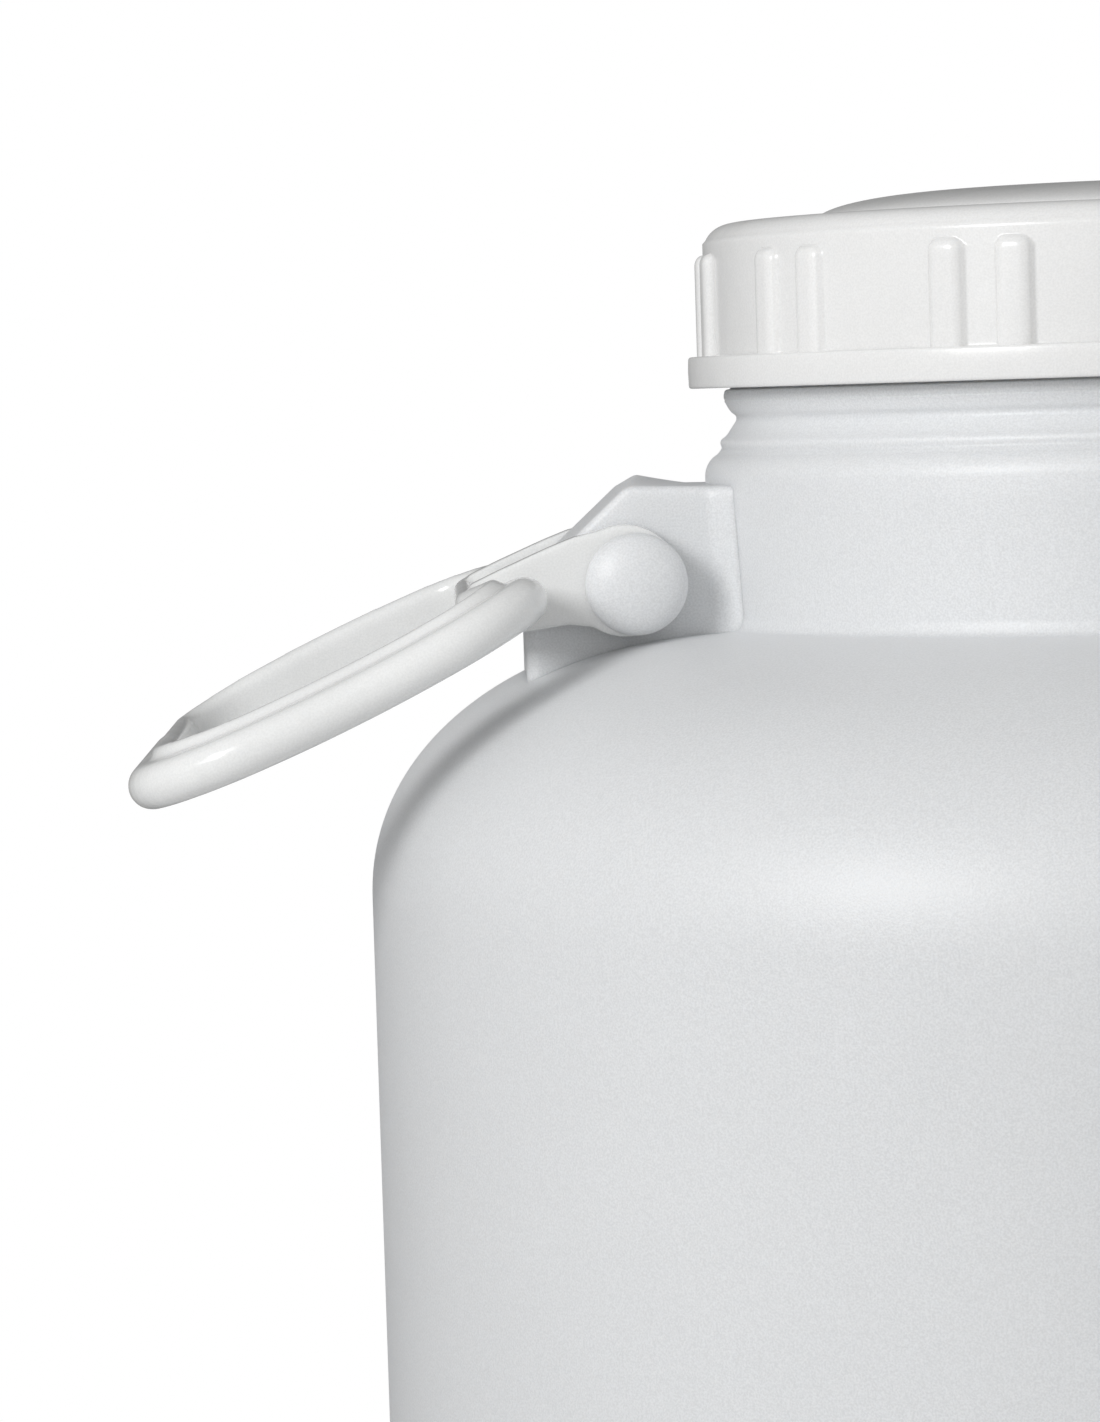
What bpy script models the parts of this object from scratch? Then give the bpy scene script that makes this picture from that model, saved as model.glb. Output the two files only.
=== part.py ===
"""Wide-mouth plastic drum of about thirty litres, with a ribbed screw cap and two swinging handles.

Metres, +Z up. The origin is the centre of the base, and the two handles point along -X and +X.
"""

from math import cos, pi, radians, sin, tan

import bmesh
import bpy
from mathutils import Matrix, Vector

MM = 0.001
GAP = 0.3 * MM
COLLECTION = "wide_mouth_drum"

# Body of the drum, a turned shape
BODY_RADIUS = 167.6 * MM
BASE_CORNER = 28.0 * MM
SHOULDER_START = 344.0 * MM
SHOULDER_RISE = 55.0 * MM
SHOULDER_FULLNESS = 2.08
NECK_BASE_RADIUS = 92.6 * MM
NECK_RADIUS = 94.0 * MM
NECK_BASE = SHOULDER_START + SHOULDER_RISE
NECK_LIP = 431.0 * MM
THROAT_RADIUS = 87.0 * MM
THROAT_TOP = 443.8 * MM
THROAT_BOTTOM = 442.8 * MM
RIDGE_RADIUS = 90.6 * MM
RIDGE_LEVEL = 438.4 * MM
BEAD_RADIUS = 89.6 * MM
BEAD_LEVEL = 447.4 * MM
FINISH_RADIUS = 88.0 * MM
BODY_STEPS = 56

# Screw cap
CAP_RADIUS = 93.2 * MM
CAP_TOP = 484.4 * MM
CAP_CORNER = 6.0 * MM
CAP_WALL = 4.0 * MM
SKIRT_RADIUS = 96.9 * MM
SKIRT_TOP = 456.5 * MM
CAP_BOTTOM = 449.8 * MM
DISC_RADIUS = 69.0 * MM
DISC_FLAT = 40.0 * MM
DISC_RISE = 5.3 * MM
CAP_STEPS = 66
RIB_PAIRS = 12
RIB_PAIR_TURN = radians(2.2)
RIB_SPREAD = radians(4.4)
RIB_WIDTH = 9.0 * MM
RIB_DEPTH = 6.4 * MM
RIB_CREST = 95.0 * MM
RIB_TOP = 478.0 * MM

# Bracket on each side of the neck, and the headed pins on its two faces
BRACKET_HALF_WIDTH = 25.0 * MM
BRACKET_TOP = 430.0 * MM
BRACKET_TOP_EDGE = 111.8 * MM
BRACKET_REACH = 133.5 * MM
BRACKET_CHAMFER_FOOT = 410.2 * MM
BRACKET_INSIDE = 80.0 * MM
BRACKET_BOTTOM = 372.0 * MM
BRACKET_EDGE = 1.8 * MM
PIVOT_RADIUS = 110.5 * MM
PIVOT_HEIGHT = 410.0 * MM
PIN_RADIUS = 7.5 * MM
PIN_STEPS = 24
HEAD_RADIUS = 10.6 * MM
HEAD_RISE = 5.0 * MM

# Handle, laid flat along +X from its pivot
DROOP = radians(24.6)
HUB_RADIUS = 12.0 * MM
HUB_OFFSET = (1.0 * MM, 1.8 * MM)
HUB_THICKNESS = 6.4 * MM
ARM_END = 31.0 * MM
RING_LIFT = 7.8 * MM
ARM_TOP = 15.0 * MM
ARM_UNDERSIDE = ((16.0 * MM, -1.5 * MM), (25.2 * MM, 1.4 * MM), (31.0 * MM, 3.2 * MM))
ROLL_HEIGHT = 9.6 * MM
ROLL_WIDTH = 12.0 * MM
RIDGE_RISE = 2.1 * MM
GRIP_CENTRE = 106.1 * MM
SIDE_CENTRE = 64.0 * MM
INNER_CORNER = 23.4 * MM
CROSSBAR_CENTRE = 29.7 * MM
CROSSBAR_HALF = 27.0 * MM
CROSSBAR_FOOT = 42.0 * MM
GRIP_BEND = 20.0 * MM
PIVOT_BEND = 17.0 * MM
CROSSBAR_BEND = 8.0 * MM
WARP = 2.0 * MM


def clear_scene():
    """Remove every object of the scene that the script starts in."""
    for item in list(bpy.data.objects):
        bpy.data.objects.remove(item, do_unlink=True)


def make_collection(name):
    """Return a new collection linked to the scene."""
    collection = bpy.data.collections.new(name)
    bpy.context.scene.collection.children.link(collection)
    return collection


def make_material(name, colour, roughness):
    """Return a plain plastic material."""
    material = bpy.data.materials.new(name)
    material.use_nodes = True
    shader = material.node_tree.nodes["Principled BSDF"]
    shader.inputs["Base Color"].default_value = (*colour, 1.0)
    shader.inputs["Roughness"].default_value = roughness
    shader.inputs["Metallic"].default_value = 0.0
    material.diffuse_color = (*colour, 1.0)
    return material


def add_object(name, data, collection):
    """Return a new object that holds the mesh or curve, linked to the collection."""
    item = bpy.data.objects.new(name, data)
    collection.objects.link(item)
    return item


def hide_cutter(item):
    """Keep a shape that only joins or cuts another out of the model."""
    item.hide_render = True
    item.display_type = "WIRE"


def evaluated_mesh(item, name):
    """Return the object's evaluated shape as a closed mesh in the object's own frame."""
    depsgraph = bpy.context.evaluated_depsgraph_get()
    mesh = bpy.data.meshes.new_from_object(item.evaluated_get(depsgraph))
    mesh.name = name
    shape = bmesh.new()
    shape.from_mesh(mesh)
    bmesh.ops.remove_doubles(shape, verts=shape.verts, dist=1e-6)
    bmesh.ops.recalc_face_normals(shape, faces=shape.faces)
    shape.to_mesh(mesh)
    shape.free()
    return mesh


def join_all(item, shapes, operation):
    """Add a Boolean modifier to the object for each of the shapes."""
    for shape in shapes:
        hide_cutter(shape)
        step = item.modifiers.new(shape.name, "BOOLEAN")
        step.operation = operation
        step.solver = "EXACT"
        step.object = shape


def smooth(mesh, angle=35.0):
    """Shade the mesh smooth, apart from edges sharper than the angle."""
    mesh.shade_smooth()
    mesh.set_sharp_from_angle(angle=radians(angle))


def arc(centre, radii, start, end, steps, fullness=2.0):
    """Return points along an ellipse arc between two angles in degrees, fuller than an ellipse above 2."""
    points = []
    for index in range(steps + 1):
        angle = radians(start + (end - start) * index / steps)
        across, up = cos(angle), sin(angle)
        stretch = (abs(across) ** fullness + abs(up) ** fullness) ** (-1.0 / fullness)
        points.append((centre[0] + radii[0] * across * stretch, centre[1] + radii[1] * up * stretch))
    return points


def turned(name, profile, steps, collection):
    """Return an object whose profile of radius and height is turned round the Z axis."""
    mesh = bpy.data.meshes.new(name)
    edges = [(index, index + 1) for index in range(len(profile) - 1)]
    mesh.from_pydata([(radius, 0.0, height) for radius, height in profile], edges, [])
    item = add_object(name, mesh, collection)
    turn = item.modifiers.new("turn", "SCREW")
    turn.steps = steps
    turn.render_steps = steps
    turn.use_merge_vertices = True
    turn.merge_threshold = 1e-6
    turn.use_smooth_shade = True
    return item


def body_profile():
    """Return the drum's outline from the top of the neck, under the cap, down to the base."""
    finish_top = CAP_TOP - CAP_WALL - GAP
    throat = [(THROAT_RADIUS, THROAT_TOP), (THROAT_RADIUS, THROAT_BOTTOM)]
    ridge = [
        (RIDGE_RADIUS - 2.4 * MM, RIDGE_LEVEL + 2.7 * MM),
        (RIDGE_RADIUS - 1.2 * MM, RIDGE_LEVEL + 1.2 * MM),
        (RIDGE_RADIUS, RIDGE_LEVEL),
    ]
    groove = [(RIDGE_RADIUS - 0.4 * MM, RIDGE_LEVEL - 1.4 * MM)]
    lip_size = (4.8 * MM, 5.2 * MM)
    lip = arc((NECK_RADIUS - lip_size[0], NECK_LIP), lip_size, 65, 0, 3)
    shoulder_centre = (NECK_BASE_RADIUS, SHOULDER_START)
    shoulder_size = (BODY_RADIUS - NECK_BASE_RADIUS, SHOULDER_RISE)
    shoulder = arc(shoulder_centre, shoulder_size, 88, 0, 10, SHOULDER_FULLNESS)
    corner = arc((BODY_RADIUS - BASE_CORNER, BASE_CORNER), (BASE_CORNER, BASE_CORNER), 0, -90, 5)
    top = [(0.0, finish_top), (FINISH_RADIUS, finish_top), (FINISH_RADIUS, CAP_BOTTOM - GAP)]
    bead = [
        (BEAD_RADIUS - 0.4 * MM, CAP_BOTTOM - 1.3 * GAP),
        (BEAD_RADIUS, BEAD_LEVEL + 0.8 * MM),
        (BEAD_RADIUS - 0.1 * MM, BEAD_LEVEL - 0.6 * MM),
        (BEAD_RADIUS - 1.1 * MM, BEAD_LEVEL - 2.3 * MM),
    ]
    neck_foot = [(NECK_BASE_RADIUS, NECK_BASE + 0.6 * MM)]
    return top + bead + throat + ridge + groove + lip + neck_foot + shoulder + corner + [(0.0, 0.0)]


def bracket_block(name, side, collection):
    """Return the block that carries one handle, on the side -1 or +1 of the neck."""
    outline = [
        (BRACKET_INSIDE, BRACKET_BOTTOM),
        (BRACKET_REACH, BRACKET_BOTTOM),
        (BRACKET_REACH, BRACKET_CHAMFER_FOOT),
        (BRACKET_TOP_EDGE, BRACKET_TOP),
        (BRACKET_INSIDE, BRACKET_TOP),
    ]
    block = flat_shape(name, [outline], BRACKET_HALF_WIDTH, collection)
    block.rotation_euler = (0.0, 0.0, 0.0 if side > 0 else pi)
    bevel = block.modifiers.new("edges", "BEVEL")
    bevel.width = BRACKET_EDGE
    bevel.segments = 2
    bevel.limit_method = "ANGLE"
    return block


def flat_shape(name, outlines, half_thickness, collection):
    """Return a plate whose outline of X and Z points is given a thickness along Y."""
    curve = bpy.data.curves.new(name, "CURVE")
    curve.dimensions = "2D"
    curve.fill_mode = "BOTH"
    curve.extrude = half_thickness
    for outline in outlines:
        spline = curve.splines.new("POLY")
        spline.points.add(len(outline) - 1)
        for point, (across, up) in zip(spline.points, outline):
            point.co = (across, up, 0.0, 1.0)
        spline.use_cyclic_u = True
    flat = add_object(name + "_outline", curve, collection)
    mesh = evaluated_mesh(flat, name)
    mesh.transform(Matrix.Rotation(pi / 2, 4, "X"))
    bpy.data.objects.remove(flat, do_unlink=True)
    return add_object(name, mesh, collection)


def headed_pin(name, side, face, collection):
    """Return a pin with a domed head, on the face -1 or +1 of the bracket at the side -1 or +1."""
    shank_end = BRACKET_HALF_WIDTH + HUB_THICKNESS + 2.0 * GAP
    rim = 1.2 * MM
    profile = [(0.0, shank_end + rim + HEAD_RISE)]
    profile += arc((0.0, shank_end + rim), (HEAD_RADIUS, HEAD_RISE), 72, 0, 4)
    profile += [(HEAD_RADIUS, shank_end), (PIN_RADIUS, shank_end), (PIN_RADIUS, 0.0), (0.0, 0.0)]
    pin = turned(name, profile, PIN_STEPS, collection)
    pin.location = (side * PIVOT_RADIUS, 0.0, PIVOT_HEIGHT)
    pin.rotation_euler = (-face * pi / 2, 0.0, 0.0)
    return pin


def make_drum_body(collection, cutters, material):
    """Make the drum, its two brackets and their pins, which are blown as one piece."""
    body = turned("drum_body", body_profile(), BODY_STEPS, collection)
    additions = []
    for side, word in ((-1, "left"), (1, "right")):
        additions.append(bracket_block("bracket_" + word, side, cutters))
        for face, place in ((-1, "front"), (1, "back")):
            additions.append(headed_pin(f"pin_{word}_{place}", side, face, cutters))
    join_all(body, additions, "UNION")
    body.data.materials.append(material)
    return body


def cap_profile():
    """Return the cap's outline from the middle of its top, down the skirt and up inside."""
    disc = arc((DISC_FLAT, CAP_TOP), (DISC_RADIUS - DISC_FLAT, DISC_RISE), 90, 0, 5)
    corner_centre = (CAP_RADIUS - CAP_CORNER, CAP_TOP - CAP_CORNER)
    corner = arc(corner_centre, (CAP_CORNER, CAP_CORNER), 90, 0, 5)
    skirt = [
        (CAP_RADIUS, SKIRT_TOP),
        (SKIRT_RADIUS - 0.6 * MM, SKIRT_TOP),
        (SKIRT_RADIUS, SKIRT_TOP - 0.6 * MM),
        (SKIRT_RADIUS, CAP_BOTTOM + 0.4 * MM),
        (SKIRT_RADIUS - 0.4 * MM, CAP_BOTTOM),
    ]
    bore = FINISH_RADIUS + GAP
    inside = [(bore, CAP_BOTTOM), (bore, CAP_TOP - CAP_WALL), (0.0, CAP_TOP - CAP_WALL)]
    return [(0.0, CAP_TOP + DISC_RISE + 0.2 * MM)] + disc + corner + skirt + inside


def cap_rib(name, angle, collection):
    """Return one upright rib, round at the front and at its top."""
    foot = SKIRT_TOP - 0.5 * MM
    bpy.ops.mesh.primitive_cylinder_add(vertices=12, radius=0.5, depth=1.0)
    rib = bpy.context.object
    rib.name = name
    rib.data.transform(Matrix.Diagonal((RIB_DEPTH, RIB_WIDTH, RIB_TOP - foot, 1.0)))
    move_to(rib, collection)
    bevel = rib.modifiers.new("round_top", "BEVEL")
    bevel.width = 1.6 * MM
    bevel.segments = 2
    bevel.limit_method = "ANGLE"
    bevel.angle_limit = radians(60)
    distance = RIB_CREST - RIB_DEPTH / 2
    rib.location = (distance * cos(angle), distance * sin(angle), (RIB_TOP + foot) / 2)
    rib.rotation_euler = (0.0, 0.0, angle)
    return rib


def move_to(item, collection):
    """Take the object out of its collections and put it in this one."""
    for old in list(item.users_collection):
        old.objects.unlink(item)
    collection.objects.link(item)


def make_cap(collection, cutters, material):
    """Make the screw cap with its raised middle, its pairs of ribs and its skirt."""
    cap = turned("cap", cap_profile(), CAP_STEPS, collection)
    ribs = make_collection("cap_ribs")
    cutters.children.link(ribs)
    bpy.context.scene.collection.children.unlink(ribs)
    for pair in range(RIB_PAIRS):
        middle = 2 * pi * pair / RIB_PAIRS + RIB_PAIR_TURN
        for side in (-1, 1):
            hide_cutter(cap_rib(f"rib_{pair}_{side}", middle + side * RIB_SPREAD, ribs))
    step = cap.modifiers.new("ribs", "BOOLEAN")
    step.operation = "UNION"
    step.solver = "EXACT"
    step.operand_type = "COLLECTION"
    step.collection = ribs
    cap.data.materials.append(material)
    return cap


def rounded_path(corners, steps):
    """Return a closed path through corners given as (x, y, bend radius), with each bend an arc."""
    path = []
    count = len(corners)
    for index, (x, y, bend) in enumerate(corners):
        here = Vector((x, y))
        back = (Vector(corners[index - 1][:2]) - here).normalized()
        ahead = (Vector(corners[(index + 1) % count][:2]) - here).normalized()
        half = back.angle(ahead) / 2
        centre = here + (back + ahead).normalized() * bend / sin(half)
        start = here + back * bend / tan(half) - centre
        end = here + ahead * bend / tan(half) - centre
        sweep = start.angle_signed(end)
        for step in range(steps + 1):
            turned_start = start.copy()
            turned_start.rotate(Matrix.Rotation(-sweep * step / steps, 2))
            path.append(centre + turned_start)
    return path


def ring_path():
    """Return the middle line of the handle's ring, seen from above, with its pivot at the origin."""
    corners = [
        (GRIP_CENTRE, -SIDE_CENTRE, GRIP_BEND),
        (GRIP_CENTRE, SIDE_CENTRE, GRIP_BEND),
        (INNER_CORNER, SIDE_CENTRE, PIVOT_BEND),
        (INNER_CORNER, CROSSBAR_FOOT, CROSSBAR_BEND),
        (CROSSBAR_CENTRE, CROSSBAR_HALF, CROSSBAR_BEND),
        (CROSSBAR_CENTRE, -CROSSBAR_HALF, CROSSBAR_BEND),
        (INNER_CORNER, -CROSSBAR_FOOT, CROSSBAR_BEND),
        (INNER_CORNER, -SIDE_CENTRE, PIVOT_BEND),
    ]
    return rounded_path(corners, 4)


def ring_section():
    """Return the ring's section: a flattened roll outside and a raised ridge inside."""
    half_height = ROLL_HEIGHT / 2
    half_width = ROLL_WIDTH / 2
    outer = arc((half_width - half_height, 0.0), (half_height, half_height), -90, 80, 5)
    ridge_top = half_height + RIDGE_RISE
    inner = [
        (-0.9 * MM, half_height - 0.5 * MM),
        (-2.2 * MM, ridge_top - 0.7 * MM),
        (-3.6 * MM, ridge_top),
        (-5.3 * MM, ridge_top - 0.9 * MM),
        (-half_width, half_height),
        (-half_width, -half_height + 2.0 * MM),
        (-half_width + 2.0 * MM, -half_height),
    ]
    return outer + inner


def warp_at(distance, side):
    """Return how far the ring's middle line is bent off its plane: one rail down and the other up."""
    middle = (GRIP_CENTRE + INNER_CORNER) / 2
    reach = (distance - middle) / (GRIP_CENTRE - middle)
    return -WARP * side / SIDE_CENTRE * max(0.0, 1.0 - reach * reach)


def handle_ring(collection):
    """Return the ring of the handle, its section swept round the path."""
    path = ring_path()
    section = ring_section()
    shape = bmesh.new()
    loops = []
    count = len(path)
    for index, point in enumerate(path):
        tangent = (path[(index + 1) % count] - path[index - 1]).normalized()
        outward = Vector((tangent.y, -tangent.x))
        loop = []
        level = RING_LIFT + warp_at(point.x, point.y)
        for across, up in section:
            place = point + outward * across
            loop.append(shape.verts.new((place.x, place.y, level + up)))
        loops.append(loop)
    size = len(section)
    for index in range(count):
        here = loops[index]
        ahead = loops[(index + 1) % count]
        for corner in range(size):
            after = (corner + 1) % size
            shape.faces.new((here[corner], ahead[corner], ahead[after], here[after]))
    bmesh.ops.recalc_face_normals(shape, faces=shape.faces)
    mesh = bpy.data.meshes.new("handle_ring")
    shape.to_mesh(mesh)
    shape.free()
    return add_object("handle_ring", mesh, collection)


def arm_outline():
    """Return one arm's side outline: a round hub, a top edge and a rising underside."""
    hub = arc(HUB_OFFSET, (HUB_RADIUS, HUB_RADIUS), 90, 330, 14)
    return [(ARM_END, ARM_TOP)] + hub + list(ARM_UNDERSIDE)


def handle_arm(name, face, collection):
    """Return one arm with its hub, on the face -1 or +1 of the bracket."""
    arm = flat_shape(name, [arm_outline()], HUB_THICKNESS / 2, collection)
    arm.location = (0.0, face * (BRACKET_HALF_WIDTH + GAP + HUB_THICKNESS / 2), 0.0)
    bevel = arm.modifiers.new("edges", "BEVEL")
    bevel.width = 1.2 * MM
    bevel.segments = 2
    bevel.limit_method = "ANGLE"
    return arm


def handle_mesh(cutters):
    """Return the mesh of one handle: ring, two arms and the bores for the pins."""
    ring = handle_ring(cutters)
    arms = [handle_arm("arm_front", -1, cutters), handle_arm("arm_back", 1, cutters)]
    join_all(ring, arms, "UNION")
    bpy.ops.mesh.primitive_cylinder_add(vertices=PIN_STEPS, radius=PIN_RADIUS + GAP, depth=0.1)
    bore = bpy.context.object
    bore.name = "pin_bore"
    bore.data.transform(Matrix.Rotation(pi / 2, 4, "X"))
    move_to(bore, cutters)
    join_all(ring, [bore], "DIFFERENCE")
    hide_cutter(ring)
    mesh = evaluated_mesh(ring, "handle")
    smooth(mesh)
    return mesh


def make_handles(collection, cutters, material):
    """Make both handles, each with its origin on the axis that it swings about."""
    mesh = handle_mesh(cutters)
    mesh.materials.clear()
    mesh.materials.append(material)
    for side, word in ((-1, "left"), (1, "right")):
        handle = add_object("handle_" + word, mesh, collection)
        handle.location = (side * PIVOT_RADIUS, 0.0, PIVOT_HEIGHT)
        handle.rotation_euler = (0.0, DROOP, 0.0 if side > 0 else pi)


def main():
    """Build the drum, its cap and its handles."""
    clear_scene()
    parts = make_collection(COLLECTION)
    cutters = make_collection("cutters")
    drum_plastic = make_material("drum_plastic", (0.68, 0.69, 0.69), 0.45)
    cap_plastic = make_material("cap_plastic", (0.80, 0.80, 0.79), 0.28)
    handle_plastic = make_material("handle_plastic", (0.80, 0.80, 0.79), 0.22)
    make_drum_body(parts, cutters, drum_plastic)
    make_cap(parts, cutters, cap_plastic)
    make_handles(parts, cutters, handle_plastic)


main()
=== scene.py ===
"""Looks of the wide-mouth plastic drum: fine surfaces, polyethylene finishes, studio and camera."""

from math import atan2, ceil, cos, degrees, hypot, pi, radians, sin, sqrt, tan

import bmesh
import bpy
from mathutils import Matrix, Vector

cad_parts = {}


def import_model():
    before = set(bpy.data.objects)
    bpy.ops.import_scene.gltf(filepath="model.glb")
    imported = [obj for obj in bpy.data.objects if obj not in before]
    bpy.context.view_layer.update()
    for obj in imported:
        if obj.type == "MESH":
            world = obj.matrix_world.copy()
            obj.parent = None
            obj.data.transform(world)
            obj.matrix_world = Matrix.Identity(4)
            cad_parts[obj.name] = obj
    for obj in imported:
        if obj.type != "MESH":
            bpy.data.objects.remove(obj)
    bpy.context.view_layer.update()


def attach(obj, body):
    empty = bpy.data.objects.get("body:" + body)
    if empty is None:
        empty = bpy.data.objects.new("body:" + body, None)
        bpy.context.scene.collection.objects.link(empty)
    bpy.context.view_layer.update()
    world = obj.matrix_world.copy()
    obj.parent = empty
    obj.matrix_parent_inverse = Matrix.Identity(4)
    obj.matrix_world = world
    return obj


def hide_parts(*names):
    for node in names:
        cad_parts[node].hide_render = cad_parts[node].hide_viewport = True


MM = 0.001

# Sizes of the drum, the same as in the frame's source
BODY_RADIUS = 167.6 * MM
BASE_CORNER = 28.0 * MM
SHOULDER_START = 344.0 * MM
SHOULDER_RISE = 55.0 * MM
SHOULDER_FULLNESS = 2.08
NECK_BASE_RADIUS = 92.6 * MM
NECK_BASE = SHOULDER_START + SHOULDER_RISE
NECK_RADIUS = 94.0 * MM
NECK_LIP = 431.0 * MM
LIP_SIZE = (4.8 * MM, 5.2 * MM)
TAPER_FOOT = NECK_BASE + 3.0 * MM
TAPER_TOP = NECK_LIP - 4.0 * MM
THROAT_RADIUS = 87.0 * MM
THROAT_TOP = 443.8 * MM
THROAT_BOTTOM = 442.8 * MM
RIDGE_RADIUS = 90.6 * MM
RIDGE_LEVEL = 438.4 * MM
BEAD_RADIUS = 89.6 * MM
BEAD_LEVEL = 447.4 * MM
FINISH_RADIUS = 88.0 * MM
RING_SOFTNESS = 0.8 * MM
BODY_TURNS = 320
WALL_STEPS = 24

# Sizes of the cap; the ribs' width and rounded edges were fitted to the photo after the solids
CAP_RADIUS = 93.2 * MM
CAP_TOP = 484.4 * MM
CAP_CORNER = 6.0 * MM
SKIRT_RADIUS = 96.9 * MM
SKIRT_TOP = 456.5 * MM
CAP_BOTTOM = 449.8 * MM
CAP_WALL = 4.0 * MM
DISC_RADIUS = 69.0 * MM
DISC_FLAT = 40.0 * MM
DISC_RISE = 5.3 * MM
DISC_CROWN = 0.2 * MM
RIB_PAIRS = 12
RIB_PAIR_TURN = radians(2.2)
RIB_SPREAD = radians(4.4)
RIB_WIDTH = 6.8 * MM
RIB_CREST = 95.0 * MM
RIB_TOP = 478.0 * MM
RIB_EDGE = 2.3 * MM
RIB_SOFT_SIDE = 0.8
RIB_CORNER = 2.5 * MM
RIB_LINES = (0.7, 1.3, 1.8, 2.2, 2.6, 2.9, 3.15, 3.4, 3.8, 4.3, 5.0, 6.5)
RIB_TOP_STEP = 0.25 * MM
RIB_TOP_STEPS = 14
CAP_LINE_SPACING = 2.2 * MM
CAP_WALL_STEPS = 12

# Sizes of the brackets and their pins; the flare and the crown are the scene's alone
BRACKET_HALF_WIDTH = 25.0 * MM
BRACKET_TOP = 430.0 * MM
BRACKET_TOP_EDGE = 111.8 * MM
BRACKET_REACH = 133.5 * MM
BRACKET_CHAMFER_FOOT = 410.2 * MM
BRACKET_BOTTOM = 372.0 * MM
BRACKET_FLARE = 5.0 * MM
BRACKET_CROWN = 2.2 * MM
BRACKET_CORNER = 3.0 * MM
BRACKET_EDGE = 1.7 * MM
BRACKET_MARGIN = 20.0 * MM
CROWN_DEPTH = 6.0 * MM
CROWN_FADE = 16.0 * MM
CROWN_DIP = 0.4 * MM
CROWN_CUTS = (
    ((0.0, 1.0, 0.0), (-16.0, -8.0, -0.5, 0.0, 0.5, 8.0, 16.0)),
    ((1.0, 0.0, 0.0), (97.0, 101.0, 105.0, 108.0)),
)
CHAMFER_SLOPE = (BRACKET_TOP - BRACKET_CHAMFER_FOOT) / (BRACKET_REACH - BRACKET_TOP_EDGE)
PIVOT_RADIUS = 110.5 * MM
PIVOT_HEIGHT = 410.0 * MM
PIN_RADIUS = 7.5 * MM
HEAD_RADIUS = 10.6 * MM
HEAD_RISE = 5.0 * MM
HEAD_RIM = 1.2 * MM
HEAD_ROUND = 0.7 * MM
PIN_ROOT = 20.0 * MM
PIN_TURNS = 96
GAP = 0.3 * MM
CUTTER_REACH = 50.0 * MM

# Sizes of the handles; hub, arm top and grip differ from the solids' by up to about 1 mm
DROOP = radians(24.6)
HUB_RADIUS = 11.6 * MM
HUB_OFFSET = (1.8 * MM, 1.6 * MM)
HUB_THICKNESS = 6.4 * MM
ARM_END = 31.0 * MM
RING_LIFT = 7.8 * MM
ARM_TOP = ((24.0 * MM, 15.1 * MM), (13.1 * MM, 14.8 * MM), (7.3 * MM, 14.4 * MM))
ARM_UNDERSIDE = ((16.0 * MM, -1.5 * MM), (25.2 * MM, 1.4 * MM), (31.0 * MM, 3.2 * MM))
ROLL_HEIGHT = 9.6 * MM
ROLL_WIDTH = 12.0 * MM
RIDGE_RISE = 2.1 * MM
GRIP_CENTRE = 105.9 * MM
SIDE_CENTRE = 64.0 * MM
INNER_CORNER = 23.4 * MM
CROSSBAR_CENTRE = 29.7 * MM
CROSSBAR_HALF = 27.0 * MM
CROSSBAR_FOOT = 42.0 * MM
GRIP_BEND = 20.0 * MM
PIVOT_BEND = 17.0 * MM
CROSSBAR_BEND = 8.0 * MM
WARP = 2.0 * MM
PATH_SPACING = 2.0 * MM
HANDLE_VOXEL = 0.55 * MM

# Finishes: heights between which painted light whitens the drum's colour, on the neck and under the
# cap's skirt, and the size of its grain
# Painted light: the neck is lightened from the first height up, for its highlight and the light
# glowing through its plastic
PAINTED_NECK_LIGHT_HEIGHTS = (394.0 * MM, 402.0 * MM)
PAINTED_NECK_LIGHT = 1.05
# Painted light: the band under the cap's skirt is lightened to lift the skirt's shadow and the
# shade in its groove
PAINTED_UNDER_CAP_LIGHT_HEIGHTS = (440.0 * MM, 447.0 * MM)
PAINTED_UNDER_CAP_LIGHT = 1.12
GRAIN_SCALE = 2400.0
DRUM_SPECKLE = 0.06
GLOSS_SPECKLE = 0.035

# Studio light: the key's turn and rise as seen from the drum, in degrees, and its power in watts
KEY_TURN = -46.0
KEY_RISE = 23.0
KEY_POWER = 12.5
KEY_SIZE = 0.5
KEY_DISTANCE = 1.5
KEY_TARGET = Vector((-0.05, -0.08, 0.38))
AMBIENT_FRONT = 0.56
AMBIENT_BACK = 0.16
FLOOR_RADIUS = 0.6
FLOOR_LEVEL = -0.4 * MM

# Camera, found by matching the drum's outline
PHOTO_SIZE = (1100, 1422)
CAMERA_PLACE = Vector((-0.148, -1.096, 0.450))
AXIS_PIXEL = (1145.0, 374.0)
FOCAL_PIXELS = 5160.0
CAMERA_ROLL = radians(1.35)


def arc(centre, radii, start, end, steps, fullness=2.0):
    """Return points along an arc between two angles in degrees; a fullness over 2 squares it up."""
    points = []
    for index in range(steps + 1):
        angle = radians(start + (end - start) * index / steps)
        across, up = cos(angle), sin(angle)
        stretch = (abs(across) ** fullness + abs(up) ** fullness) ** (-1.0 / fullness)
        x = centre[0] + radii[0] * across * stretch
        y = centre[1] + radii[1] * up * stretch
        points.append((x, y))
    return points


def smooth_line(points, radius, steps=6):
    """Return the outline with its inner corners rounded, as far as their sides allow."""
    path = [points[0]]
    for before, here, after in zip(points, points[1:], points[2:]):
        corner = Vector(here)
        back = Vector(before) - corner
        ahead = Vector(after) - corner
        reach = min(radius, back.length * 0.45, ahead.length * 0.45)
        start = corner + back.normalized() * reach
        end = corner + ahead.normalized() * reach
        for step in range(steps + 1):
            along = step / steps
            ends = start * (1 - along) ** 2 + corner * 2 * along * (1 - along)
            path.append(tuple(ends + end * along ** 2))
    path.append(points[-1])
    return path


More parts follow.
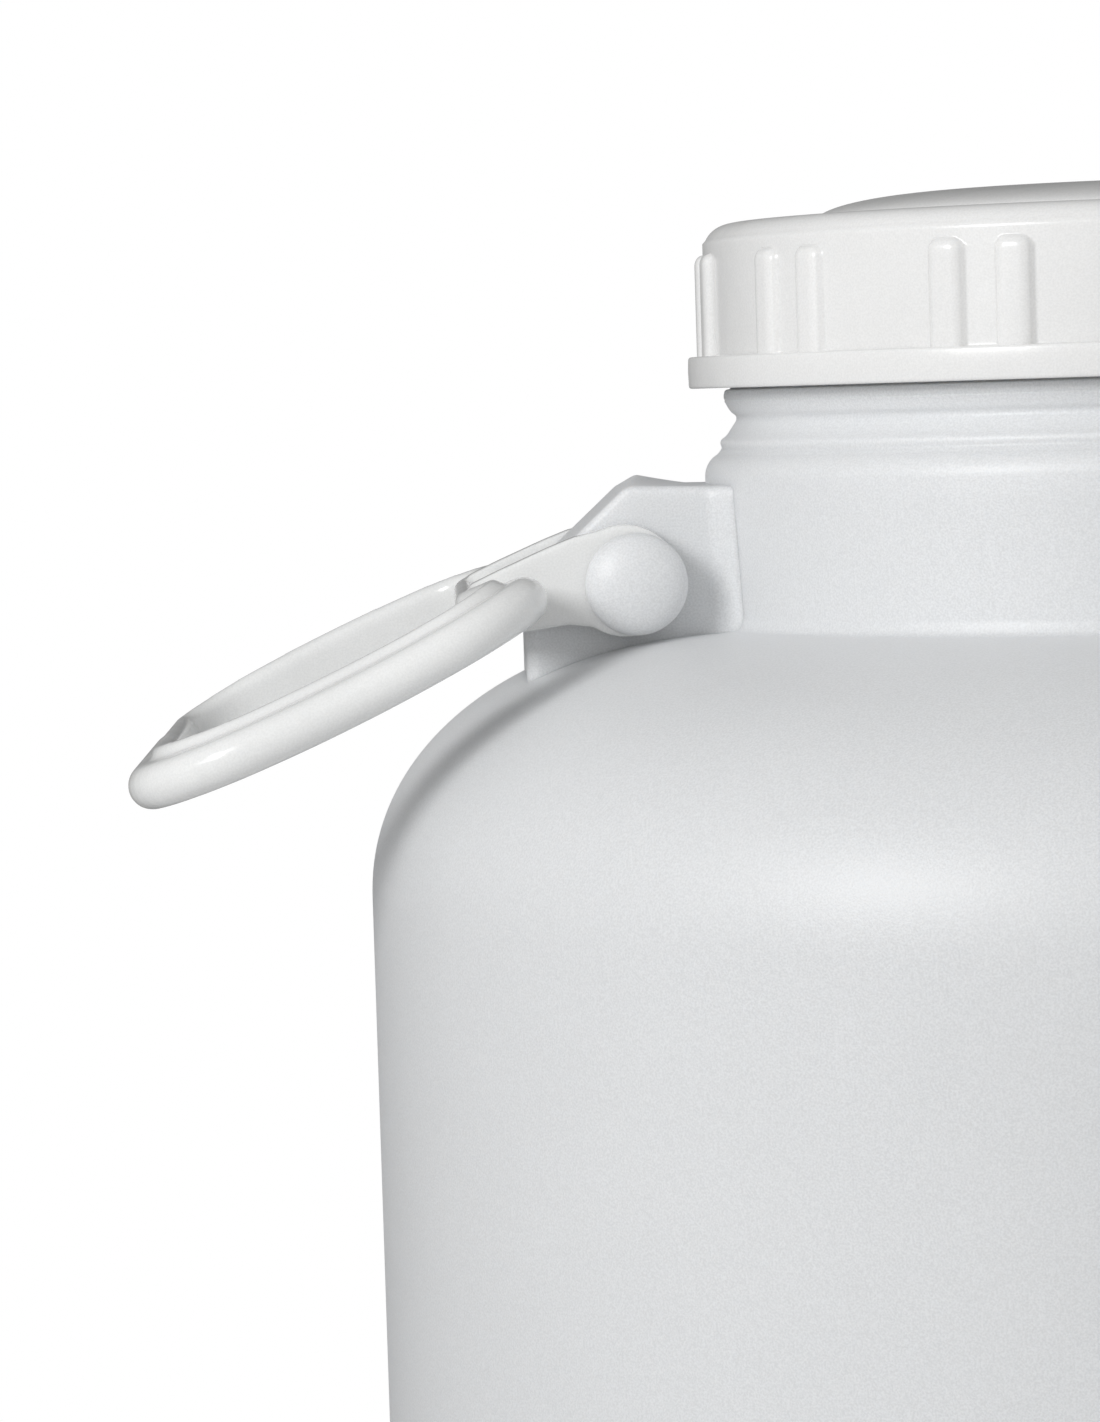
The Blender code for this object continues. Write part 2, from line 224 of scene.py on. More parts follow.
def add_mesh(name, vertices, faces):
    """Return a new smooth-shaded mesh object in the scene, its faces pointing out."""
    mesh = bpy.data.meshes.new(name)
    mesh.from_pydata(vertices, [], faces)
    shape = bmesh.new()
    shape.from_mesh(mesh)
    bmesh.ops.remove_doubles(shape, verts=shape.verts, dist=1e-7)
    bmesh.ops.recalc_face_normals(shape, faces=shape.faces)
    shape.to_mesh(mesh)
    shape.free()
    mesh.shade_smooth()
    item = bpy.data.objects.new(name, mesh)
    bpy.context.scene.collection.objects.link(item)
    return item


def even_turn(count):
    """Return that many even angles round a full turn."""
    return [2 * pi * index / count for index in range(count)]


def lathe(name, profile, angles, push=None):
    """Return the profile turned about Z, with its radius changed by push where that is given."""
    vertices = []
    for angle in angles:
        for radius, height in profile:
            out = radius if push is None else push(angle, radius, height)
            vertices.append((out * cos(angle), out * sin(angle), height))
    size = len(profile)
    count = len(angles)
    faces = []
    for turn in range(count):
        here = turn * size
        ahead = ((turn + 1) % count) * size
        for index in range(size - 1):
            faces.append((here + index, here + index + 1, ahead + index + 1, ahead + index))
    return add_mesh(name, vertices, faces)


def body_profile():
    """Return the drum's outline from the middle of its neck's top to the middle of its base."""
    finish_top = CAP_TOP - CAP_WALL - GAP
    ring = [
        (FINISH_RADIUS, finish_top),
        (FINISH_RADIUS, CAP_BOTTOM - GAP),
        (BEAD_RADIUS - 0.3 * MM, CAP_BOTTOM - 1.3 * GAP),
        (BEAD_RADIUS, BEAD_LEVEL + 0.7 * MM),
        (BEAD_RADIUS - 0.05 * MM, BEAD_LEVEL + 0.1 * MM),
        (BEAD_RADIUS - 0.25 * MM, BEAD_LEVEL - 0.2 * MM),
        (BEAD_RADIUS - 0.15 * MM, BEAD_LEVEL - 0.5 * MM),
        (BEAD_RADIUS - 0.5 * MM, BEAD_LEVEL - 1.1 * MM),
        (BEAD_RADIUS - 0.9 * MM, BEAD_LEVEL - 1.9 * MM),
        (BEAD_RADIUS - 1.5 * MM, BEAD_LEVEL - 2.8 * MM),
        (THROAT_RADIUS, THROAT_TOP),
        (THROAT_RADIUS, THROAT_BOTTOM),
        (RIDGE_RADIUS - 2.4 * MM, RIDGE_LEVEL + 2.7 * MM),
        (RIDGE_RADIUS - 1.4 * MM, RIDGE_LEVEL + 1.2 * MM),
        (RIDGE_RADIUS - 0.2 * MM, RIDGE_LEVEL + 0.4 * MM),
        (RIDGE_RADIUS, RIDGE_LEVEL - 0.4 * MM),
        (RIDGE_RADIUS - 0.4 * MM, RIDGE_LEVEL - 1.4 * MM),
    ]
    lip = arc((NECK_RADIUS - LIP_SIZE[0], NECK_LIP), LIP_SIZE, 65, 0, 10)
    foot = [
        (NECK_RADIUS, TAPER_TOP),
        (NECK_BASE_RADIUS, TAPER_FOOT),
        (NECK_BASE_RADIUS + 0.9 * MM, NECK_BASE + 0.4 * MM),
    ]
    shoulder_size = (BODY_RADIUS - NECK_BASE_RADIUS, SHOULDER_RISE)
    shoulder_foot = (NECK_BASE_RADIUS, SHOULDER_START)
    shoulder = arc(shoulder_foot, shoulder_size, 87, 0, 48, SHOULDER_FULLNESS)
    wall = []
    for step in range(1, WALL_STEPS):
        drop = (SHOULDER_START - BASE_CORNER) * step / WALL_STEPS
        wall.append((BODY_RADIUS, SHOULDER_START - drop))
    corner_centre = (BODY_RADIUS - BASE_CORNER, BASE_CORNER)
    corner = arc(corner_centre, (BASE_CORNER, BASE_CORNER), 0, -90, 16)
    top = smooth_line([(0.0, finish_top)] + ring + lip + foot + [shoulder[0]], RING_SOFTNESS, 3)
    return top + shoulder[1:] + wall + corner + [(0.0, 0.0)]


def make_body():
    """Make the turned wall of the drum."""
    return lathe("drum_wall", body_profile(), even_turn(BODY_TURNS))


def stacked(name, rings):
    """Return the closed solid through rings of points, one above another, with flat ends."""
    shape = bmesh.new()
    loops = [[shape.verts.new(point) for point in ring] for ring in rings]
    count = len(loops[0])
    shape.faces.new(loops[0])
    shape.faces.new(loops[-1])
    for low, high in zip(loops, loops[1:]):
        for index in range(count):
            after = (index + 1) % count
            shape.faces.new((low[index], low[after], high[after], high[index]))
    bmesh.ops.recalc_face_normals(shape, faces=shape.faces)
    mesh = bpy.data.meshes.new(name)
    shape.to_mesh(mesh)
    shape.free()
    item = bpy.data.objects.new(name, mesh)
    bpy.context.scene.collection.objects.link(item)
    return item


def side_prism(name, outline, low, high):
    """Return a prism of an outline in X and Z, laid along Y from low to high."""
    return stacked(name, [[(x, level, z) for x, z in outline] for level in (low, high)])


def apply_modifiers(item):
    """Replace the object's mesh by its evaluated shape."""
    depsgraph = bpy.context.evaluated_depsgraph_get()
    mesh = bpy.data.meshes.new_from_object(item.evaluated_get(depsgraph))
    item.modifiers.clear()
    item.data = mesh


def neck_radius_at(height):
    """Return the radius of the neck's slightly tapered wall at a height."""
    part = (height - TAPER_FOOT) / (TAPER_TOP - TAPER_FOOT)
    return NECK_BASE_RADIUS + (NECK_RADIUS - NECK_BASE_RADIUS) * min(1.0, max(0.0, part))


def bracket_plan(height):
    """Return the bracket's outline from above on the +X side, flared where it meets the neck."""
    neck = neck_radius_at(height)
    side = BRACKET_HALF_WIDTH + BRACKET_FLARE
    centre = (sqrt((neck + BRACKET_FLARE) ** 2 - side ** 2), side)
    toward_neck = degrees(atan2(-centre[1], -centre[0]))
    flare = arc(centre, (BRACKET_FLARE, BRACKET_FLARE), toward_neck, -90, 1)
    corner_centre = (BRACKET_REACH - BRACKET_CORNER, BRACKET_HALF_WIDTH - BRACKET_CORNER)
    corner = arc(corner_centre, (BRACKET_CORNER, BRACKET_CORNER), 90, 0, 6)
    half = [(neck * 0.8, flare[0][1] * 0.8)] + flare + corner
    return half + [(x, -y) for x, y in reversed(half)]


def bracket_column():
    """Return the bracket's outline stood up from below the shoulder to over its top."""
    levels = (BRACKET_BOTTOM, NECK_BASE, TAPER_FOOT, BRACKET_TOP - 3.0 * MM,
              BRACKET_TOP + BRACKET_MARGIN)
    rings = [[(x, y, level) for x, y in bracket_plan(level)] for level in levels]
    return stacked("bracket_column", rings)


def crown_top(item):
    """Raise the bracket's top along its middle and slope it down towards the neck."""
    shape = bmesh.new()
    shape.from_mesh(item.data)
    for normal, cuts in CROWN_CUTS:
        for cut in cuts:
            everything = shape.verts[:] + shape.edges[:] + shape.faces[:]
            place = Vector(normal) * (cut * MM)
            bmesh.ops.bisect_plane(shape, geom=everything, plane_co=place, plane_no=normal)
    for vertex in shape.verts:
        weight = min(1.0, max(0.0, (vertex.co.z - BRACKET_TOP + CROWN_DEPTH) / CROWN_DEPTH))
        inward = min(1.0, max(0.0, (BRACKET_TOP_EDGE - vertex.co.x) / CROWN_FADE))
        middle = 1.0 - abs(vertex.co.y) / BRACKET_HALF_WIDTH
        rise = BRACKET_CROWN * middle * (1.0 - inward) - CROWN_DIP * inward
        vertex.co.z += weight * rise
        vertex.co.x -= weight * max(0.0, rise) * (1.0 - inward)
    shape.to_mesh(item.data)
    shape.free()


def make_bracket(word, side):
    """Make one bracket: its plan cut to its side outline, with rounded edges."""
    block = bracket_column()
    inside = 50.0 * MM
    beyond = BRACKET_REACH + BRACKET_MARGIN
    bottom = BRACKET_BOTTOM + 2.0 * MM
    outline = [
        (inside, bottom),
        (beyond, bottom),
        (beyond, BRACKET_CHAMFER_FOOT - BRACKET_MARGIN * CHAMFER_SLOPE),
        (BRACKET_TOP_EDGE, BRACKET_TOP),
        (inside, BRACKET_TOP),
    ]
    cut = side_prism("bracket_side", outline, -CUTTER_REACH, CUTTER_REACH)
    join(block, [cut], "INTERSECT")
    bevel = block.modifiers.new("edges", "BEVEL")
    bevel.width = BRACKET_EDGE
    bevel.segments = 5
    bevel.limit_method = "ANGLE"
    bevel.angle_limit = radians(28)
    apply_modifiers(block)
    crown_top(block)
    block.name = "bracket_" + word
    block.data.transform(Matrix.Rotation(0.0 if side > 0 else pi, 4, "Z"))
    block.data.shade_smooth()
    block.data.set_sharp_from_angle(angle=radians(40))
    return block


def make_pin(word, side, face):
    """Make one pin with its domed head on the front or back face of a bracket."""
    shank_end = BRACKET_HALF_WIDTH + HUB_THICKNESS + 2.0 * GAP
    profile = [(0.0, shank_end + HEAD_RIM + HEAD_RISE)]
    profile += arc((0.0, shank_end + HEAD_RIM), (HEAD_RADIUS, HEAD_RISE), 88, 0, 20)
    edge_centre = (HEAD_RADIUS - HEAD_ROUND, shank_end + HEAD_ROUND)
    profile += arc(edge_centre, (HEAD_ROUND, HEAD_ROUND), 0, -90, 4)
    profile += [(PIN_RADIUS, shank_end), (PIN_RADIUS, PIN_ROOT), (0.0, PIN_ROOT)]
    pin = lathe(f"pin_{word}_{'front' if face < 0 else 'back'}", profile, even_turn(PIN_TURNS))
    pin.data.transform(Matrix.Rotation(-face * pi / 2, 4, "X"))
    pin.data.transform(Matrix.Translation((side * PIVOT_RADIUS, 0.0, PIVOT_HEIGHT)))
    return pin


def make_drum():
    """Make the drum's wall, brackets and pins, which together stand for its one solid."""
    pieces = [make_body()]
    for side, word in ((-1, "left"), (1, "right")):
        pieces.append(make_bracket(word, side))
        for face in (-1, 1):
            pieces.append(make_pin(word, side, face))
    return pieces


def cap_profile():
    """Return the cap's outline from the middle of its top down the skirt and up inside."""
    disc = arc((DISC_FLAT, CAP_TOP), (DISC_RADIUS - DISC_FLAT, DISC_RISE), 90, 3, 24)
    corner_centre = (CAP_RADIUS - CAP_CORNER, CAP_TOP - CAP_CORNER)
    corner = arc(corner_centre, (CAP_CORNER, CAP_CORNER), 90, 0, 14)
    fine = [RIB_TOP + 0.3 * MM - RIB_TOP_STEP * step for step in range(RIB_TOP_STEPS)]
    drop = fine[-1] - SKIRT_TOP - 1.0 * MM
    coarse = [fine[-1] - drop * step / CAP_WALL_STEPS for step in range(1, CAP_WALL_STEPS + 1)]
    wall = [(CAP_RADIUS, height) for height in fine + coarse]
    skirt = smooth_line([
        wall[-1],
        (CAP_RADIUS, SKIRT_TOP),
        (SKIRT_RADIUS, SKIRT_TOP),
        (SKIRT_RADIUS + 0.1 * MM, SKIRT_TOP - 3.0 * MM),
        (SKIRT_RADIUS, CAP_BOTTOM),
        (BEAD_RADIUS + 1.5 * MM, CAP_BOTTOM + 0.1 * MM),
        (FINISH_RADIUS + GAP, CAP_BOTTOM),
    ], 0.7 * MM, 4)
    inside = [(FINISH_RADIUS + GAP, CAP_TOP - CAP_WALL), (0.0, CAP_TOP - CAP_WALL)]
    top = [(0.0, CAP_TOP + DISC_RISE + DISC_CROWN)]
    return top + disc + corner + wall + skirt[1:] + inside


def rib_angles():
    """Return the angle of each of the cap's ribs, in order round the cap."""
    angles = []
    for pair in range(RIB_PAIRS):
        middle = 2 * pi * pair / RIB_PAIRS + RIB_PAIR_TURN
        angles += [middle - RIB_SPREAD, middle + RIB_SPREAD]
    return angles


def cap_angles(ribs):
    """Return the angles of the cap's upright lines, closest together at the sides of each rib."""
    after_middle = [value * MM / CAP_RADIUS for value in RIB_LINES]
    offsets = [-offset for offset in reversed(after_middle)] + [0.0] + after_middle
    angles = []
    for index, rib in enumerate(ribs):
        angles += [rib + offset for offset in offsets]
        after = ribs[(index + 1) % len(ribs)] + (2 * pi if index == len(ribs) - 1 else 0.0)
        start = rib + offsets[-1]
        room = after + offsets[0] - start
        parts = max(1, round(room * CAP_RADIUS / CAP_LINE_SPACING))
        angles += [start + room * part / parts for part in range(1, parts)]
    return angles


def rib_lift(across, height):
    """Return how far a rib stands out across it and at a height: rounded, softer on one side."""
    across = -across if across < 0 else across * RIB_SOFT_SIDE
    beyond_side = across - (RIB_WIDTH / 2 - RIB_CORNER)
    beyond_top = height - (RIB_TOP - RIB_CORNER)
    corner = hypot(max(beyond_side, 0.0), max(beyond_top, 0.0))
    outside = corner + min(max(beyond_side, beyond_top), 0.0)
    part = min(1.0, max(0.0, (RIB_CORNER - outside) / RIB_EDGE))
    return (RIB_CREST - CAP_RADIUS) * sqrt(1.0 - (1.0 - part) ** 2)


def make_cap():
    """Make the cap, its ribs raised from the wall."""
    ribs = rib_angles()

    def raised(angle, radius, height):
        """Return the cap's radius at an angle and height, with its ribs raised on the wall."""
        if radius < CAP_RADIUS - 0.5 * MM or height < SKIRT_TOP - 0.1 * MM:
            return radius
        away = min(((angle - rib + pi) % (2 * pi) - pi for rib in ribs), key=abs)
        return max(radius, CAP_RADIUS + rib_lift(away * CAP_RADIUS, height))

    return lathe("screw_cap", cap_profile(), cap_angles(ribs), raised)


def rounded_path(corners, steps):
    """Return a closed path through corners given as (x, y, bend radius), with each bend an arc."""
    path = []
    count = len(corners)
    for index, (x, y, bend) in enumerate(corners):
        here = Vector((x, y))
        back = (Vector(corners[index - 1][:2]) - here).normalized()
        ahead = (Vector(corners[(index + 1) % count][:2]) - here).normalized()
        half = back.angle(ahead) / 2
        centre = here + (back + ahead).normalized() * bend / sin(half)
        start = here + back * bend / tan(half) - centre
        end = here + ahead * bend / tan(half) - centre
        sweep = start.angle_signed(end)
        for step in range(steps + 1):
            spoke = start.copy()
            spoke.rotate(Matrix.Rotation(-sweep * step / steps, 2))
            path.append(centre + spoke)
    return path


def even_path(path, spacing):
    """Return the closed path with points added so that none is further than the spacing apart."""
    full = []
    for index, here in enumerate(path):
        after = path[(index + 1) % len(path)]
        parts = max(1, ceil((after - here).length / spacing))
        full += [here.lerp(after, part / parts) for part in range(parts)]
    return full


def ring_path():
    """Return the middle line of the handle's ring from above, with its pivot at the origin."""
    corners = [
        (GRIP_CENTRE, -SIDE_CENTRE, GRIP_BEND),
        (GRIP_CENTRE, SIDE_CENTRE, GRIP_BEND),
        (INNER_CORNER, SIDE_CENTRE, PIVOT_BEND),
        (INNER_CORNER, CROSSBAR_FOOT, CROSSBAR_BEND),
        (CROSSBAR_CENTRE, CROSSBAR_HALF, CROSSBAR_BEND),
        (CROSSBAR_CENTRE, -CROSSBAR_HALF, CROSSBAR_BEND),
        (INNER_CORNER, -CROSSBAR_FOOT, CROSSBAR_BEND),
        (INNER_CORNER, -SIDE_CENTRE, PIVOT_BEND),
    ]
    return even_path(rounded_path(corners, 12), PATH_SPACING)


def ring_section():
    """Return the ring's section: a flattened roll outside and a raised ridge inside."""
    half_height = ROLL_HEIGHT / 2
    half_width = ROLL_WIDTH / 2
    ridge_top = half_height + RIDGE_RISE
    outer = arc((half_width - half_height, 0.0), (half_height, half_height), -90, 88, 16)
    inner = smooth_line([
        outer[-1],
        (-0.9 * MM, half_height - 0.2 * MM),
        (-2.2 * MM, ridge_top - 0.4 * MM),
        (-3.7 * MM, ridge_top + 0.1 * MM),
        (-5.3 * MM, ridge_top - 0.8 * MM),
        (-half_width, half_height),
        (-half_width, -half_height + 1.6 * MM),
        (-half_width + 1.8 * MM, -half_height),
        outer[0],
    ], 1.3 * MM, 4)
    return outer + inner[1:-1]


def warp_at(distance, side):
    """Return how far the ring's middle line is off its plane: one rail down, the other up."""
    middle = (GRIP_CENTRE + INNER_CORNER) / 2
    reach = (distance - middle) / (GRIP_CENTRE - middle)
    return -WARP * side / SIDE_CENTRE * max(0.0, 1.0 - reach * reach)


def handle_ring():
    """Return the ring of the handle, its section swept round the path."""
    path = ring_path()
    section = ring_section()
    count = len(path)
    size = len(section)
    vertices = []
    for index, point in enumerate(path):
        tangent = (path[(index + 1) % count] - path[index - 1]).normalized()
        outward = Vector((tangent.y, -tangent.x))
        level = RING_LIFT + warp_at(point.x, point.y)
        for across, up in section:
            place = point + outward * across
            vertices.append((place.x, place.y, level + up))
    faces = []
    for index in range(count):
        here = index * size
        ahead = (index + 1) % count * size
        for corner in range(size):
            after = (corner + 1) % size
            faces.append((here + corner, ahead + corner, ahead + after, here + after))
    return add_mesh("handle_ring", vertices, faces)


def handle_arm(face):
    """Return one arm with its hub, on the front or back face of the bracket."""
    hub = arc(HUB_OFFSET, (HUB_RADIUS, HUB_RADIUS), 90, 330, 48)
    outline = [(ARM_END, ARM_TOP[0][1])] + list(ARM_TOP) + hub + list(ARM_UNDERSIDE)
    inner = BRACKET_HALF_WIDTH + GAP
    outer = inner + HUB_THICKNESS
    low, high = sorted((face * inner, face * outer))
    return side_prism("handle_arm", outline, low, high)


def join(target, others, operation):
    """Apply a Boolean of each of the others to the target, and remove them."""
    for other in others:
        step = target.modifiers.new("join", "BOOLEAN")
        step.operation = operation
        step.solver = "EXACT"
        step.object = other
        apply_modifiers(target)
        bpy.data.objects.remove(other, do_unlink=True)


def bore():
    """Return the cylinder that the pins' holes are cut with."""
    outline = arc((0.0, 0.0), (PIN_RADIUS + GAP, PIN_RADIUS + GAP), 0, 354, 59)
    return side_prism("pin_bore", outline, -CUTTER_REACH, CUTTER_REACH)


def handle_shape():
    """Return one handle at its pivot, its ring and arms melted together with soft corners."""
    handle = handle_ring()
    join(handle, [handle_arm(-1), handle_arm(1)], "UNION")
    melt = handle.modifiers.new("melt", "REMESH")
    melt.mode = "VOXEL"
    melt.voxel_size = HANDLE_VOXEL
    melt.use_smooth_shade = True
    relax = handle.modifiers.new("relax", "SMOOTH")
    relax.factor = 0.5
    relax.iterations = 6
    apply_modifiers(handle)
    join(handle, [bore()], "DIFFERENCE")
    handle.data.shade_smooth()
    handle.data.set_sharp_from_angle(angle=radians(38))
    return handle


def make_handles():
    """Make both handles at their places."""
    first = handle_shape()
    second = first.copy()
    second.data = first.data.copy()
    bpy.context.scene.collection.objects.link(second)
    for item, side, word in ((first, -1, "left"), (second, 1, "right")):
        item.name = "ring_handle_" + word
        turn = Matrix.Rotation(0.0 if side > 0 else pi, 4, "Z") @ Matrix.Rotation(DROOP, 4, "Y")
        place = Matrix.Translation((side * PIVOT_RADIUS, 0.0, PIVOT_HEIGHT))
        item.data.transform(place @ turn)
    return first, second


def shader_of(name):
    """Return a new material with its node tree, its shader and its object coordinates."""
    material = bpy.data.materials.new(name)
    material.use_nodes = True
    tree = material.node_tree
    shader = tree.nodes["Principled BSDF"]
    coordinates = tree.nodes.new("ShaderNodeTexCoord")
    return material, tree, shader, coordinates.outputs["Object"]


def noise(tree, vector, scale, detail=2.0, stretch=(1.0, 1.0, 1.0)):
    """Return the value of a noise texture over the object, stretched along its axes."""
    mapping = tree.nodes.new("ShaderNodeMapping")
    mapping.inputs["Scale"].default_value = stretch
    tree.links.new(vector, mapping.inputs["Vector"])
    texture = tree.nodes.new("ShaderNodeTexNoise")
    texture.inputs["Scale"].default_value = scale
    texture.inputs["Detail"].default_value = detail
    tree.links.new(mapping.outputs["Vector"], texture.inputs["Vector"])
    return texture.outputs["Fac"]


def spread(tree, value, low, high, from_low=0.3, from_high=0.7):
    """Return the value carried from one range to another."""
    node = tree.nodes.new("ShaderNodeMapRange")
    node.inputs["From Min"].default_value = from_low
    node.inputs["From Max"].default_value = from_high
    node.inputs["To Min"].default_value = low
    node.inputs["To Max"].default_value = high
    tree.links.new(value, node.inputs["Value"])
    return node.outputs["Result"]


def blend_colour(tree, value, first, second):
    """Return a colour between two, by the value."""
    ramp = tree.nodes.new("ShaderNodeValToRGB")
    ramp.color_ramp.elements[0].color = (*first, 1.0)
    ramp.color_ramp.elements[1].color = (*second, 1.0)
    tree.links.new(value, ramp.inputs["Fac"])
    return ramp.outputs["Color"]


def bump(tree, height, distance, strength, normal=None):
    """Return a normal bumped by the height."""
    node = tree.nodes.new("ShaderNodeBump")
    node.inputs["Distance"].default_value = distance
    node.inputs["Strength"].default_value = strength
    tree.links.new(height, node.inputs["Height"])
    if normal is not None:
        tree.links.new(normal, node.inputs["Normal"])
    return node.outputs["Normal"]


def scaled(tree, colour, shade):
    """Return the colour times the value."""
    scale = tree.nodes.new("ShaderNodeVectorMath")
    scale.operation = "SCALE"
    tree.links.new(colour, scale.inputs[0])
    tree.links.new(shade, scale.inputs["Scale"])
    return scale.outputs["Vector"]


def speckled(tree, colour, grain, depth):
    """Return the colour darkened and lightened a little by a fine grain."""
    return scaled(tree, colour, spread(tree, grain, 1.0 - depth, 1.0 + depth, 0.35, 0.65))


def height_shade(tree, place, heights, above):
    """Return a value that passes from 1 to another between two heights."""
    axes = tree.nodes.new("ShaderNodeSeparateXYZ")
    tree.links.new(place, axes.inputs["Vector"])
    return spread(tree, axes.outputs["Z"], 1.0, above, *heights)


def drum_material():
    """Return the drum's satin polyethylene, with mould grain, fine upright streaks and painted
    light on the neck.
    """
    material, tree, shader, place = shader_of("drum_plastic_look")
    cloud = noise(tree, place, 9.0, 3.0)
    mottle = spread(tree, cloud, 0.0, 1.0)
    colour = blend_colour(tree, mottle, (0.69, 0.70, 0.71), (0.72, 0.73, 0.74))
    grain = noise(tree, place, GRAIN_SCALE, 3.0)
    # Painted light: whitens the neck for its highlight and the glow through its plastic
    painted_neck_light = height_shade(tree, place, PAINTED_NECK_LIGHT_HEIGHTS, PAINTED_NECK_LIGHT)
    # Painted light: lifts the skirt's shadow in the band under the cap
    ring = height_shade(tree, place, PAINTED_UNDER_CAP_LIGHT_HEIGHTS, PAINTED_UNDER_CAP_LIGHT)
    # The colour with both painted lights in it, on the neck and under the cap's skirt
    painted_light_colour = scaled(tree, scaled(tree, colour, painted_neck_light), ring)
    tree.links.new(speckled(tree, painted_light_colour, grain, DRUM_SPECKLE), shader.inputs["Base Color"])
    fine = bump(tree, grain, 0.00012, 0.5)
    streak = noise(tree, place, 260.0, 2.0, (1.0, 1.0, 0.03))
    drawn = bump(tree, streak, 0.00008, 0.25, fine)
    swell = noise(tree, place, 22.0, 2.0)
    surface = bump(tree, swell, 0.0006, 0.3, drawn)
    tree.links.new(surface, shader.inputs["Normal"])
    tree.links.new(spread(tree, grain, 0.36, 0.48), shader.inputs["Roughness"])
    shader.inputs["Subsurface Weight"].default_value = 0.5
    shader.inputs["Subsurface Radius"].default_value = (1.0, 0.95, 0.9)
    shader.inputs["Subsurface Scale"].default_value = 0.006
    shader.inputs["IOR"].default_value = 1.5
    return material


def gloss_material(name, low, high, roughness, depth, painted_top_shade=1.0):
    """Return a glossy polyethylene with faint flow marks, and painted shade that darkens it above
    the cap's rim.
    """
    material, tree, shader, place = shader_of(name)
    cloud = noise(tree, place, 30.0, 3.0)
    colour = blend_colour(tree, spread(tree, cloud, 0.0, 1.0), low, high)
    # Painted shade: the cap's top disc is darkened for the dark surround it reflects
    painted_disc_shade = height_shade(tree, place, (CAP_TOP, CAP_TOP + 1.0 * MM), painted_top_shade)
    grain = noise(tree, place, GRAIN_SCALE, 3.0)
    shaded = speckled(tree, scaled(tree, colour, painted_disc_shade), grain, GLOSS_SPECKLE)
    tree.links.new(shaded, shader.inputs["Base Color"])
    flow = noise(tree, place, 60.0, 3.0)
    surface = bump(tree, flow, depth, 0.3)
    pit = noise(tree, place, 700.0, 2.0)
    tree.links.new(bump(tree, pit, 0.00002, 0.3, surface), shader.inputs["Normal"])
    uneven = spread(tree, cloud, roughness - 0.03, roughness + 0.05)
    tree.links.new(uneven, shader.inputs["Roughness"])
    shader.inputs["Subsurface Weight"].default_value = 0.35
    shader.inputs["Subsurface Radius"].default_value = (1.0, 0.97, 0.93)
    shader.inputs["Subsurface Scale"].default_value = 0.004
    shader.inputs["IOR"].default_value = 1.5
    return material


def plain_material(name, colour, roughness):
    """Return a plain matt finish for the floor."""
    material, tree, shader, place = shader_of(name)
    cloud = noise(tree, place, 1.5, 2.0)
    shade = tuple(channel * 0.985 for channel in colour)
    tree.links.new(blend_colour(tree, cloud, shade, colour), shader.inputs["Base Color"])
    shader.inputs["Roughness"].default_value = roughness
    return material


def dress(item, material, body, node):
    """Give a piece its material, the body it rides on and the node it stands for."""
    item.data.materials.clear()
    item.data.materials.append(material)
    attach(item, body)
    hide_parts(node)


def make_floor():
    """Make the pale floor."""
    bpy.ops.mesh.primitive_circle_add(
        vertices=96, radius=FLOOR_RADIUS, fill_type="NGON", location=(0.0, 0.0, FLOOR_LEVEL))
    floor = bpy.context.object
    floor.name = "floor"
    floor.data.materials.append(plain_material("floor_finish", (0.86, 0.86, 0.86), 0.8))


def area_light(name, place, target, width, height, power):
    """Add a soft rectangular light that faces the target."""
    data = bpy.data.lights.new(name, "AREA")
    data.shape = "RECTANGLE"
    data.size = width
    data.size_y = height
    data.energy = power
    item = bpy.data.objects.new(name, data)
    item.location = place
    item.rotation_euler = (Vector(target) - Vector(place)).to_track_quat("-Z", "Y").to_euler()
    item.visible_camera = False
    bpy.context.scene.collection.objects.link(item)


